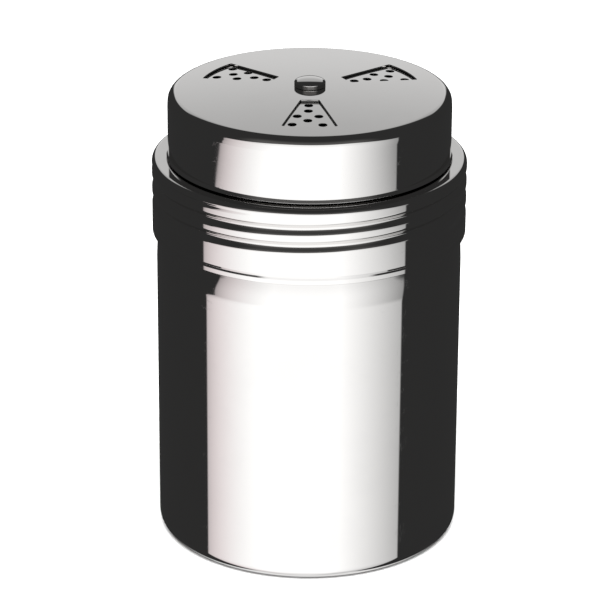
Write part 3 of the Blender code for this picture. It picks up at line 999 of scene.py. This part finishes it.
class SHAKER_OT_knob(bpy.types.Operator):
    """Build the riveted knob"""

    bl_idname = "shaker.knob"
    bl_label = "Build knob"

    def execute(self, context):
        form = context.scene.shaker_knob
        tail_base = knob_low.z
        tail_top = tail_base + form.tail_height
        tail_edge = form.tail_edge_share * form.tail_height
        corners = [
            (0.0, tail_base, 0.0), (form.tail, tail_base, tail_edge),
            (form.tail, tail_top, form.bend), (form.shank, tail_top, form.bend),
            (form.shank, form.seat, form.bend), (form.radius, form.seat, form.lower_edge),
            (form.radius, form.top - form.crown, 0.0),
        ]
        outline = rounded(corners, closed=False) + crown(form.radius, form.crown, form.top)
        body = Body()
        body.spin(outline, closed=False, segments=SMALL_SEGMENTS)
        body.piece("knob_rivet", "lid", "pivot_knob", "knob_steel", polished("knob"))
        return {"FINISHED"}


class SHAKER_OT_washers(bpy.types.Operator):
    """Build the wavy spring washer and the flat washer under the lid's dome"""

    bl_idname = "shaker.washers"
    bl_label = "Build washers"

    def execute(self, context):
        knob = context.scene.shaker_knob
        finish = context.scene.shaker_finish
        edge = knob.washer_edge
        spring_thickness = spring_high.z - spring_low.z - 2.0 * knob.wave
        low = spring_low.z + knob.wave
        spring_corners = [
            (knob.bore, low, edge), (spring_high.x, low, edge),
            (spring_high.x, low + spring_thickness, edge), (knob.bore, low + spring_thickness, edge),
        ]
        spring = Body()
        spring.spin(rounded(spring_corners), segments=SMALL_SEGMENTS)
        for vert in spring.bm.verts:
            turn = math.atan2(vert.co.y, vert.co.x)
            vert.co.z += knob.wave * math.cos(knob.waves * turn)
        spring_steel = steel_material(
            "spring_temper", finish.spring, finish.washers, smudged=0.08, scratched=0.1, lines=0.4,
        )
        spring.piece("spring_wavy", "lid", "spring_washer", "spring_steel", [spring_steel])

        backing_corners = [
            (knob.bore, backing_low.z, edge), (backing_high.x, backing_low.z, 2.0 * edge),
            (backing_high.x, backing_high.z, edge), (knob.bore, backing_high.z, edge),
        ]
        backing = Body()
        backing.spin(rounded(backing_corners), segments=SMALL_SEGMENTS)
        satin = steel_material(
            "washer_satin", finish.inside, finish.washers, smudged=0.08, scratched=0.1, lines=0.4,
        )
        backing.piece("backing_flat", "lid", "backing_washer", "washer_steel", [satin])
        return {"FINISHED"}


# Stage

PHOTO_WIDTH_PX = 600.0
AIM_POINT_PX = (308.57, 301.10)
SENSOR_WIDTH = 36.0


def place_camera(studio):
    """The camera at the photograph's angle, turned so that the aim point lies where it does there."""
    data = bpy.data.cameras.new("camera")
    camera = bpy.data.objects.new("camera", data)
    bpy.context.scene.collection.objects.link(camera)
    data.lens = studio.lens
    data.sensor_width = SENSOR_WIDTH
    data.clip_start = 0.01
    back = Vector((0.0, -math.cos(studio.elevation), math.sin(studio.elevation)))
    aim = Vector((0.0, 0.0, studio.aim_height))
    right = Vector((1.0, 0.0, 0.0))
    up = back.cross(right)
    rolled = right * math.cos(studio.roll) + up * math.sin(studio.roll)
    up = back.cross(rolled)
    focal_px = studio.lens / SENSOR_WIDTH * PHOTO_WIDTH_PX
    off_right = (AIM_POINT_PX[0] - 0.5 * PHOTO_WIDTH_PX) / focal_px
    off_down = (AIM_POINT_PX[1] - 0.5 * PHOTO_WIDTH_PX) / focal_px
    back = (back + rolled * off_right - up * off_down).normalized()
    rolled = (rolled - back * rolled.dot(back)).normalized()
    up = back.cross(rolled)
    turn = Matrix((rolled, up, back)).transposed().to_4x4()
    start = Vector((0.0, -math.cos(studio.elevation), math.sin(studio.elevation)))
    camera.matrix_world = Matrix.Translation(aim + start * studio.distance) @ turn
    bpy.context.scene.camera = camera


# Where a change in the studio begins and where it is full, in degrees of azimuth
# (0 in front, left below 0) or of elevation

LEFT_DROP_SPAN = (-12.0, -76.0)
RIGHT_DROP_SPAN = (28.0, 78.0)
TOP_EDGE_SPAN = (-60.0, -12.0)
TOP_EDGE_SOFTNESS = (1.2, 2.5)
SIDE_EDGE_SOFTNESS = 0.8
LEFT_EDGE_SPAN = (-21.2, -19.4)
LEFT_EDGE_RISE_SPAN = (-19.0, -6.0)
LEFT_EDGE_RISE = 6.0
SIDE_LEVEL_SPAN = (-23.0, -20.0)
LEFT_FALL_REACH = 43.0
RIGHT_FALL_START = 24.0
BLUSH_REACH = 38.0
NEAR_SHADE_SPAN = (-50.0, -80.0)
HORIZON_SPAN = (-14.0, 0.0)
BELOW_SPAN = (-35.0, -48.0)
GLOW_SIDE_SPAN = (62.0, 35.0)
GLOW_TOP_SPAN = (62.0, 22.0)
GLOW_LOW_SPAN = (-5.0, 10.0)
WALL_WIDTH_SPAN = (18.0, 44.0)
WALL_LOW_SPAN = (-1.0, 7.0)
WALL_SHADE_SPAN = (10.0, 32.0)

# Shares: of a direction's length, or of a light's brightness

LEFT_FALL_POWER = 0.6
HORIZON_SHARE = 0.88
BELOW_WIDTH_SHARES = (0.38, 0.28)
WALL_SIDE_SOFTNESS = 0.04
WALL_REACH_SOFTNESS = 0.05
WALL_HIGH_SHARE = 0.66
BLUSH_TINT = (1.04, 0.94, 0.95)
GLOW_TINT = (1.02, 1.0, 0.98)

# A direction: its two angles, how far it points to either side and how far backwards

Way = namedtuple("Way", ("azimuth", "elevation", "aside", "back"))


def front_light(nodes, studio, way):
    """The bright table and panel in front, as a mask and a colour.

    The upper edge falls away to both sides, and the left edge lies further in
    above the table.
    """
    edge = math.radians(SIDE_EDGE_SOFTNESS)
    low_edge = nodes.span(way.elevation, LEFT_EDGE_SPAN, studio.table_left, studio.panel_left)
    rise = nodes.span(way.elevation, LEFT_EDGE_RISE_SPAN, 0.0, math.radians(LEFT_EDGE_RISE))
    past_left = nodes.math("SUBTRACT", way.azimuth, nodes.math("ADD", low_edge, rise))
    left_mask = nodes.ramp(past_left, -edge, edge)
    right_mask = nodes.ramp(way.azimuth, studio.panel_right + edge, studio.panel_right - edge)

    left_drop = nodes.span(way.azimuth, LEFT_DROP_SPAN, 0.0, studio.left_drop)
    right_drop = nodes.span(way.azimuth, RIGHT_DROP_SPAN, 0.0, studio.right_drop)
    drop = nodes.math("ADD", left_drop, right_drop)
    above_edge = nodes.math("ADD", nodes.math("SUBTRACT", way.elevation, studio.panel_top), drop)
    softness = [math.radians(degrees) for degrees in TOP_EDGE_SOFTNESS]
    soft = nodes.span(way.azimuth, TOP_EDGE_SPAN, *softness)
    top_mask = nodes.ramp(nodes.math("DIVIDE", above_edge, soft), 1.0, -1.0)
    mask = nodes.product(left_mask, right_mask, top_mask)

    side_level = nodes.span(way.elevation, SIDE_LEVEL_SPAN, studio.table_edge, studio.panel_edge)
    left_share = nodes.math(
        "POWER", nodes.span(past_left, (0.0, LEFT_FALL_REACH), kind="LINEAR"), LEFT_FALL_POWER,
    )
    left_fall = nodes.ramp(left_share, 0.0, 1.0, side_level, 1.0, "LINEAR")
    right_start = math.radians(RIGHT_FALL_START)
    right_fall = nodes.ramp(way.azimuth, studio.panel_right, right_start, side_level, 1.0, "LINEAR")
    # Painted shadow of the shaker on the table: darker straight below.
    near = nodes.span(way.elevation, NEAR_SHADE_SPAN, 1.0, studio.shaded_table_share)
    horizon = nodes.span(way.elevation, HORIZON_SPAN, 1.0, HORIZON_SHARE)
    level = nodes.product(left_fall, right_fall, near, horizon, studio.panel_level)
    blush = nodes.span(past_left, (0.0, BLUSH_REACH), 1.0, 0.0)
    tint = nodes.blend(blush, grey(1.0), (*BLUSH_TINT, 1.0))
    light = nodes.blend(level, grey(0.0), tint)
    light.node.clamp_factor = False
    return mask, light


def light_below(nodes, way):
    """The part of the table that the base corner reflects, as a mask."""
    return nodes.product(
        nodes.span(way.elevation, BELOW_SPAN), nodes.ramp(way.aside, *BELOW_WIDTH_SHARES),
    )


def glow_above(nodes, way):
    """The faint glow above the panel, as a mask."""
    sides = nodes.span(nodes.math("ABSOLUTE", way.azimuth), GLOW_SIDE_SPAN)
    top = nodes.span(way.elevation, GLOW_TOP_SPAN)
    low = nodes.span(way.elevation, GLOW_LOW_SPAN)
    return nodes.product(sides, top, low)


def wall_behind(nodes, studio, way):
    """The grey patch of wall behind, wider and darker upwards, as a mask and a colour."""
    width = nodes.span(
        way.elevation, WALL_WIDTH_SPAN, studio.wall_width, studio.wall_top_width, "LINEAR",
    )
    past_side = nodes.math("SUBTRACT", way.aside, width)
    sides = nodes.ramp(past_side, WALL_SIDE_SOFTNESS, -WALL_SIDE_SOFTNESS)
    reach = nodes.ramp(
        way.back, studio.wall_reach - WALL_REACH_SOFTNESS, studio.wall_reach + WALL_REACH_SOFTNESS,
    )
    low = nodes.span(way.elevation, WALL_LOW_SPAN)
    high_level = WALL_HIGH_SHARE * studio.wall_level
    level = nodes.span(way.elevation, WALL_SHADE_SPAN, studio.wall_level, high_level)
    return nodes.product(sides, reach, low), nodes.blend(level, grey(0.0), grey(1.0))


def build_world(studio):
    """What the polish reflects: a bright front, dark flags at the sides and a grey wall behind."""
    world = bpy.data.worlds.new("studio")
    world.use_nodes = True
    bpy.context.scene.world = world
    nodes = Nodes(world.node_tree)
    direction = nodes.add("ShaderNodeTexCoord").outputs["Generated"]
    parts = nodes.add("ShaderNodeSeparateXYZ", {0: direction}).outputs
    forward = nodes.math("MULTIPLY", parts["Y"], -1.0)
    way = Way(
        azimuth=nodes.math("ARCTAN2", parts["X"], forward),
        elevation=nodes.math("ARCSINE", parts["Z"]),
        aside=nodes.math("ABSOLUTE", parts["X"]),
        back=parts["Y"],
    )
    front_mask, front = front_light(nodes, studio, way)
    wall_mask, wall = wall_behind(nodes, studio, way)
    glow = [studio.glow_level * channel for channel in GLOW_TINT]
    room = nodes.blend(glow_above(nodes, way), grey(studio.flag_level), (*glow, 1.0))
    room = nodes.blend(wall_mask, room, wall)
    # The table below the base, dimmed by the same painted shadow.
    room = nodes.blend(light_below(nodes, way), room, grey(studio.panel_level * studio.shaded_table_share))
    room = nodes.blend(front_mask, room, front)
    seen = nodes.add("ShaderNodeLightPath").outputs["Is Camera Ray"]
    shown = nodes.blend(seen, room, grey(1.0))
    background = nodes.add("ShaderNodeBackground", {"Color": shown, "Strength": 1.0})
    nodes.add("ShaderNodeOutputWorld", {"Surface": background.outputs[0]})


def build_floor(studio):
    """The pale floor and the soft light above it."""
    mesh = bpy.data.meshes.new("floor")
    bm = bmesh.new()
    bmesh.ops.create_circle(bm, cap_ends=True, segments=SMALL_SEGMENTS, radius=studio.floor_radius)
    bm.to_mesh(mesh)
    bm.free()
    floor = bpy.data.objects.new("floor", mesh)
    bpy.context.scene.collection.objects.link(floor)
    material = bpy.data.materials.new("floor_paper")
    material.use_nodes = True
    nodes = Nodes(material.node_tree)
    place = nodes.add("ShaderNodeTexCoord").outputs["Object"]
    grain = nodes.add("ShaderNodeTexNoise", {"Vector": place, "Scale": 900.0, "Detail": 3.0})
    paler = [min(1.0, channel * PAPER_PALE_SHARE) for channel in studio.floor]
    tint = nodes.blend(grain.outputs["Fac"], (*studio.floor, 1.0), (*paler, 1.0))
    shader = nodes.add(
        "ShaderNodeBsdfPrincipled", {"Base Color": tint, "Roughness": 0.85, "Specular IOR Level": 0.1},
    )
    nodes.add("ShaderNodeOutputMaterial", {"Surface": shader.outputs[0]})
    mesh.materials.append(material)
    floor.visible_glossy = False

    light = bpy.data.lights.new("softbox", "AREA")
    light.shape = "DISK"
    light.size = studio.lamp_size
    light.energy = studio.lamp_power
    lamp = bpy.data.objects.new("softbox", light)
    bpy.context.scene.collection.objects.link(lamp)
    lamp.location = (0.0, -studio.lamp_forward, studio.lamp_height)
    lamp.rotation_euler = (math.atan2(studio.lamp_forward, studio.lamp_height), 0.0, 0.0)
    lamp.visible_glossy = False
    lamp.visible_camera = False


class SHAKER_OT_stage(bpy.types.Operator):
    """Place the camera, the floor and the studio that the steel reflects"""

    bl_idname = "shaker.stage"
    bl_label = "Build stage"

    def execute(self, context):
        studio = context.scene.shaker_studio
        place_camera(studio)
        build_world(studio)
        build_floor(studio)
        context.scene.view_settings.view_transform = "Standard"
        return {"FINISHED"}


class SHAKER_PT_panel(bpy.types.Panel):
    """The shaker's sizes, finishes and builders"""

    bl_label = "Spice shaker"
    bl_idname = "SHAKER_PT_panel"
    bl_space_type = "VIEW_3D"
    bl_region_type = "UI"
    bl_category = "Shaker"

    def draw(self, context):
        layout = self.layout
        for operator in OPERATORS:
            layout.operator(operator.bl_idname)
        for name in GROUPS:
            box = layout.box()
            group = getattr(context.scene, name)
            box.label(text=name.replace("_", " "))
            for item in group.bl_rna.properties:
                if item.identifier not in ("rna_type", "name"):
                    box.prop(group, item.identifier)


OPERATORS = (
    SHAKER_OT_stage, SHAKER_OT_can, SHAKER_OT_seal, SHAKER_OT_lid, SHAKER_OT_cap,
    SHAKER_OT_knob, SHAKER_OT_washers,
)
GROUPS = {
    "shaker_can": CanForm,
    "shaker_lid": LidForm,
    "shaker_cap": CapForm,
    "shaker_knob": KnobForm,
    "shaker_finish": Finish,
    "shaker_studio": Studio,
}


def register():
    for group in GROUPS.values():
        bpy.utils.register_class(group)
    for name, group in GROUPS.items():
        setattr(bpy.types.Scene, name, bpy.props.PointerProperty(type=group))
    for operator in OPERATORS:
        bpy.utils.register_class(operator)
    bpy.utils.register_class(SHAKER_PT_panel)


def unregister():
    bpy.utils.unregister_class(SHAKER_PT_panel)
    for operator in reversed(OPERATORS):
        bpy.utils.unregister_class(operator)
    for name, group in reversed(GROUPS.items()):
        delattr(bpy.types.Scene, name)
        bpy.utils.unregister_class(group)


def main():
    register()
    bpy.ops.shaker.stage()
    bpy.ops.shaker.can()
    bpy.ops.shaker.seal()
    bpy.ops.shaker.lid()
    bpy.ops.shaker.cap()
    bpy.ops.shaker.knob()
    bpy.ops.shaker.washers()


if __name__ == "__main__":
    main()
